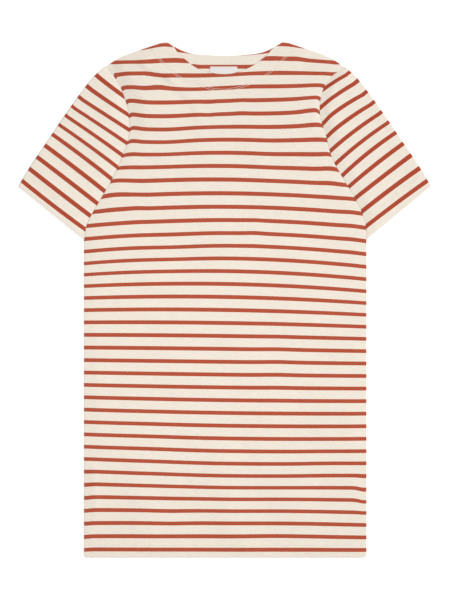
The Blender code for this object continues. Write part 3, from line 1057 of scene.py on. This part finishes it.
facing_flat = facing_grid(np.linspace(1, -1, 121), np.linspace(0, 1, 25)[:, None])
facing_across, facing_height = facing_flat
facing_reach = np.abs(facing_across)
facing_lift = read_sides(FACING_LIFTS, facing_across, facing_reach)
facing_lift *= smooth((facing_height - FACING_LIFT_FROM) / FACING_LIFT_OVER)
outer_part = smooth((facing_reach - FACING_OUTER_FROM) / FACING_OUTER_OVER)
facing_lift += FACING_OUTER_LIFT * outer_part
facing_ups = facing_height - facing_lift - FACING_STRIPE
facing_place = np.stack([facing_across, facing_ups], axis=-1) / STRIPE_PITCH
facing_outer = in_frame(*facing_flat, CLOTH + GAP + FACING)
facing_cloth = make_cloth("neck_facing_cloth", facing_outer, FACING, facing_place, jersey)

# %% [markdown]
# ## The label's tape
# Damask tape is woven so tightly that single threads hardly show. Fine ribs run across it, and its
# floating threads give it a slight gloss.

# %% The blank label
LABEL_WHITE = (0.76, 0.73, 0.71)
LABEL_RIBS = 90  # to one repeat of the stripes, the unit of the cloth's coordinates
LABEL_THREADS = 60
LABEL_BOW = 0.00012  # the tape bows up in the middle and down at its ends by this much
LABEL_WALL = LABEL - 0.0001  # so those ends stay clear of the facing
LABEL_SEAM = 0.0018  # from its top edge to its stitches


def woven_tape(tree):
    """The weave is the product of a sine of the ribs and a sine of the threads."""
    place, across, up = cloth_place(tree)
    ribs = calculate(tree, "SINE", product(tree, up, LABEL_RIBS * 2 * np.pi))
    threads = calculate(tree, "SINE", product(tree, across, LABEL_THREADS * 2 * np.pi))
    weave = calculate(tree, "MULTIPLY_ADD", product(tree, ribs, threads), 0.25, 0.5)
    ribbed = between(tree, weave, 0.96, 1.03)
    cloudy = between(tree, noise(tree, place, (3, 3, 1)), 0.98, 1.02)
    return {
        "Base Color": shade(tree, LABEL_WHITE, product(tree, ribbed, cloudy)),
        "Roughness": between(tree, weave, 0.45, 0.62),
        "Normal": tilt(tree, weave, 0.00008, 0.5),
        "Sheen Weight": 0.1,
    }


label_x = LABEL_CENTRE + (LABEL_WIDTH / 2 - LABEL / 2) * np.linspace(-1, 1, 50)
label_rows = np.linspace(0, 1, 21)[:, None]
label_y = LABEL_TOP - LABEL_HEIGHT + LABEL / 2 + (LABEL_HEIGHT - LABEL) * label_rows
label_bow = LABEL_BOW * np.cos(2 * np.pi * (label_x - LABEL_CENTRE) / LABEL_WIDTH)
label_level = CLOTH + FACING + 2 * GAP + LABEL + label_bow
label_flat = np.broadcast_arrays(label_x, label_y)
label_outer = in_frame(*label_flat, label_level)
label_place = np.stack(label_flat, axis=-1) / STRIPE_PITCH
label_weave = make_material("label_weave", woven_tape)
woven_label = make_cloth("woven_label", label_outer, LABEL_WALL, label_place, label_weave)

# %% [markdown]
# ## Stitches
# The neck, the hem and the cuffs are held by a twin needle, which sews two even rows. A texture
# could draw them, but real stitches stand up and catch the light. Each one is a small capsule of
# thread that arches out of the cloth and dips back in. One is worked out once, and then set along
# every line at once by its centre, its direction and its up.

# %% One stitch
STITCH = 0.0027  # length of one
STITCH_PITCH = 0.0030  # from one to the next
THREAD_RADIUS = 0.00036
THREAD_ARCH = 0.00022
RING_PLACES = np.array([-0.5, -0.36, 0.0, 0.36, 0.5])  # along a stitch
RING_SIZES = np.array([0.35, 0.95, 1.0, 0.95, 0.35])  # as shares of the thread's radius
RING_SIDES = 6


def stitch_shape():
    """One stitch along x: rings whose size follows a capsule, lifted by a parabola to an arch."""
    turn = 2 * np.pi * np.arange(RING_SIDES) / RING_SIDES
    along = np.repeat(RING_PLACES[:, None] * STITCH, RING_SIDES, axis=1)
    side = THREAD_RADIUS * RING_SIZES[:, None] * np.cos(turn)
    lift = THREAD_RADIUS * RING_SIZES[:, None] * np.sin(turn)
    lift += THREAD_ARCH * (1 - (2 * RING_PLACES[:, None]) ** 2)
    return np.stack([along, side, lift], axis=-1).reshape(-1, 3)


def stitch_faces():
    """Four-sided faces between neighbouring rings, and one face that closes each end."""
    rings, sides = len(RING_PLACES), RING_SIDES
    corner = np.arange((rings - 1) * sides).reshape(rings - 1, sides)
    after = np.roll(corner, -1, axis=1)
    quads = np.stack([corner, corner + sides, after + sides, after], axis=-1).reshape(-1, 4)
    caps = [list(range(sides)), list(range(rings * sides - 1, (rings - 1) * sides - 1, -1))]
    return quads, caps


# %% Stitches along lines
def make_stitches(name, lines, material, up):
    """Stitches along each line of points, a pitch apart; up is -1 on the underside of the dress."""
    shape, (quads, caps) = stitch_shape(), stitch_faces()
    vertices, faces = [], []
    for line in lines:
        steps = np.linalg.norm(np.diff(line, axis=0), axis=1)
        lengths = np.concatenate([[0], np.cumsum(steps)])
        count = int(lengths[-1] / STITCH_PITCH)
        middles = (np.arange(count) + 0.5) * lengths[-1] / count
        behind, place, ahead = (
            along_line(middles + shift * STITCH, lengths, line) for shift in (-0.5, 0, 0.5)
        )
        run = unit(ahead - behind)
        side = unit(np.cross([0, 0, up], run))
        axes = np.stack([run, side, np.cross(run, side)], axis=1)
        vertices.append((place[:, None] + shape @ axes).reshape(-1, 3))
        for start in sum(map(len, vertices[:-1])) + len(shape) * np.arange(count):
            faces.extend((quads + start).tolist())
            faces.extend([[int(start) + corner for corner in cap] for cap in caps])
    piece = make_object(name, np.concatenate(vertices), faces, material)
    print(name, "has", len(piece.data.vertices) // len(shape), "stitches")
    return piece


# %% Thread
THREAD_TWIST = 900  # scale of the twist's waves
THREAD_SPOTS = 400  # to a metre


def twisted_thread(tree):
    """Plies twisted together, drawn as slanting waves of tone and of relief."""
    place = add_node(tree, "TexCoord", {}).outputs["Object"]
    waves = {"Vector": place, "Scale": THREAD_TWIST}
    twist = add_node(tree, "TexWave", waves, bands_direction="DIAGONAL").outputs["Fac"]
    cloudy = between(tree, noise(tree, place, [THREAD_SPOTS] * 3), 0.95, 1.05)
    return {
        "Base Color": shade(tree, CREAM, product(tree, between(tree, twist, 0.9, 1.04), cloudy)),
        "Roughness": between(tree, twist, 0.5, 0.7),
        "Normal": tilt(tree, twist, 0.00006, 0.5),
    }


thread = make_material("sewing_thread", twisted_thread)
print("thread:", round(2000 * THREAD_RADIUS, 2), "mm thick")

# %% Lines of stitching
THREAD_LIFT = 0.00005  # between the cloth and the thread's own middle line
UNDER_LEVEL = THREAD_RADIUS + THREAD_ARCH  # of that line underneath, whose arches reach down to 0
HEM_MARGIN = 0.003  # the hem's stitches end so far from its sides
hem_across = np.linspace(HEM_MARGIN - BODY_SIDES[RIGHT], BODY_SIDES[LEFT] - HEM_MARGIN, 200)


def front_line(across, height):
    """A line of stitches that lies on the front."""
    across, height = np.broadcast_arrays(across, height)
    return in_frame(across, height, front_top(across, height) + THREAD_LIFT)


def cuff_lines(sign, side, up):
    """Lines of stitches along the cuff, on a sleeve's upper layer where up is 1."""
    row_ups, fold, seam = sleeve_rows(side)
    lines = []
    for row in CUFF_STITCHES:
        start, end = (along_line(row, row_ups, points) for points in (fold, seam))
        width = np.linalg.norm(end - start)
        distance = np.linspace(FOLD_BLEND, width - SEAM_MARGIN, 100)
        flat = start + unit(end - start) * distance[:, None]
        across, height = sign * flat[:, 0], flat[:, 1]
        level = UNDER_LEVEL
        if up > 0:
            level = sleeve_top(row, width - distance, distance, across, height) + THREAD_LIFT
        lines.append(in_frame(across, height, level))
    return lines


sewing = {
    "front_hem_stitching": ([front_line(hem_across, row) for row in HEM_STITCHES], 1),
    "back_hem_stitching": ([in_frame(hem_across, row, UNDER_LEVEL) for row in HEM_STITCHES], -1),
    "neck_topstitching": ([front_line(*neck_stitch_line(row).T) for row in NECK_STITCH_ROWS], 1),
}
for word, sign, side in (("right", -1, RIGHT), ("left", 1, LEFT)):
    for layer, up in (("front", 1), ("back", -1)):
        sewing[f"{word}_cuff_{layer}_stitching"] = (cuff_lines(sign, side, up), up)
label_line = in_frame(label_x, LABEL_TOP - LABEL_SEAM, label_level)[1:-1]
sewing["label_stitching"] = ([label_line], 1)
stitches = {name: make_stitches(name, lines, thread, up) for name, (lines, up) in sewing.items()}

# %% [markdown]
# ## What each piece stands for
# Every shell takes the place of its CAD solid and rides on the same body, and the size that it was
# cut to is printed with its area. The flat area of a panel is less than that of its rectangle,
# because of the neck and the armholes, so it is measured on the grid.

# %% Pieces in place of the CAD solids
cuff_width = float(np.linalg.norm([BODY_HALF, UNDERARM_HEIGHT] - cuff_corner))
front_area, back_area, facing_area = (area_of(*flat) for flat in (front_flat, back_flat, facing_flat))
panel_cut = (2 * BODY_HALF, LENGTH)
sleeve_cut = (2 * cuff_width, float(fold_ups[-1]))
facing_cut = (2 * (NECK_HALF + FACING_SHOULDER), LENGTH - BACK_NECK[0][1] + FACING_DEPTH)
label_cut = (LABEL_WIDTH, LABEL_HEIGHT)
PIECES = (
    # piece, the CAD node that it replaces, slot, cut, area, what it rests on
    (back_cloth, "back_panel", "striped_jersey", panel_cut, back_area, []),
    (front_cloth, "front_panel", "striped_jersey", panel_cut, front_area, [back_cloth, facing_cloth]),
    (right_sleeve, "sleeve_right", "striped_jersey", sleeve_cut, right_area, []),
    (left_sleeve, "sleeve_left", "striped_jersey", sleeve_cut, left_area, []),
    (facing_cloth, "back_neck_facing", "striped_jersey", facing_cut, facing_area, [back_cloth]),
    (woven_label, "neck_label", "label_weave", label_cut, LABEL_WIDTH * LABEL_HEIGHT, [facing_cloth]),
)
SEWN_ON = {
    # the CAD node, and the stitches on the piece that replaces it
    "back_panel": ["back_hem_stitching"],
    "front_panel": ["front_hem_stitching", "neck_topstitching"],
    "sleeve_right": ["right_cuff_front_stitching", "right_cuff_back_stitching"],
    "sleeve_left": ["left_cuff_front_stitching", "left_cuff_back_stitching"],
    "neck_label": ["label_stitching"],
}
for piece, node, slot, cut, area, under in PIECES:
    sewn = [stitches[name] for name in SEWN_ON.get(node, [])]
    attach(piece, "root")
    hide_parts(node)
    for line in sewn:
        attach(line, "root")
    print(piece.name, "cut", [round(side, 4) for side in cut], "m, area", round(area, 4), "m2")

# %% [markdown]
# ## Floor, light and camera
# A garment is shown flat from straight above, on white and in very soft light, so that the colours
# are true and only the deepest creases show. A square lamp hangs over the dress, a larger one far
# beyond its left shoulder gives those creases their shape, and a white sky fills in the rest. A long
# lens keeps the dress free of perspective.

# %% The floor
FLOOR_HALF = 20.0
FLOOR_DROP = 0.0002  # below the lowest cloth


def plain_paper(tree):
    """White without gloss, glowing a little, so that it stays white in the dress's shade."""
    return {
        "Base Color": (0.95, 0.95, 0.95, 1),
        "Roughness": 0.9,
        "Specular IOR Level": 0.0,
        "Emission Color": (1, 1, 1, 1),
        "Emission Strength": 0.20,
    }


corners = np.array([[-1, -1, 0], [1, -1, 0], [1, 1, 0], [-1, 1, 0]])
corners = FLOOR_HALF * corners - [0, 0, FLOOR_DROP]
floor = make_object("floor", corners, [[0, 1, 2, 3]], make_material("white_paper", plain_paper))
floor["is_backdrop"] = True
print("floor:", 2 * FLOOR_HALF, "m wide")

# %% Light
LAMPS = (
    # name, place, size, power
    ("overhead_light", (-0.08, -0.14, 1.4), 1.0, 10.4),
    ("side_light", (5.17, 3.62, 5.69), 3.0, 387),
)
SKY = 0.318  # strength of its light
for name, place, size, power in LAMPS:
    lamp_data = bpy.data.lights.new(name, "AREA")
    lamp_data.size = size
    lamp_data.energy = power
    lamp = bpy.data.objects.new(name, lamp_data)
    lamp.location = place
    lamp.rotation_euler = (-Vector(place)).to_track_quat("-Z", "Y").to_euler()
    lamp.visible_camera = False
    bpy.context.scene.collection.objects.link(lamp)
    print(name, "faces the middle of the dress from", round(Vector(place).length, 2), "m")

world = bpy.data.worlds.new("studio")
world.use_nodes = True
background = world.node_tree.nodes["Background"]
set_inputs(world.node_tree, background, {"Color": (1, 1, 1, 1), "Strength": SKY})
bpy.context.scene.world = world
bpy.context.scene.view_settings.view_transform = "Standard"

# %% Camera
LENS = 135.0  # mm
SENSOR = 36.0  # mm, the long side of the picture
VIEW_HEIGHT = 1.080  # how much of the floor the long side takes in
VIEW_CENTRE = (0.0005, -0.0013)
camera_data = bpy.data.cameras.new("camera")
camera_data.lens = LENS
camera_data.sensor_width = SENSOR
camera_data.clip_end = 100
camera = bpy.data.objects.new("camera", camera_data)
camera.location = (*VIEW_CENTRE, VIEW_HEIGHT * LENS / SENSOR)
bpy.context.scene.collection.objects.link(camera)
bpy.context.scene.camera = camera
print("camera height:", round(camera.location.z, 3), "m")

# %% The dressed model against the CAD box
dressed_box = [list(corner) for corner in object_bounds()]
growth = [[round(1000 * (a - b), 1) for a, b in zip(*pair)] for pair in zip(dressed_box, cad_box)]
print("the box grew by, mm:", growth)
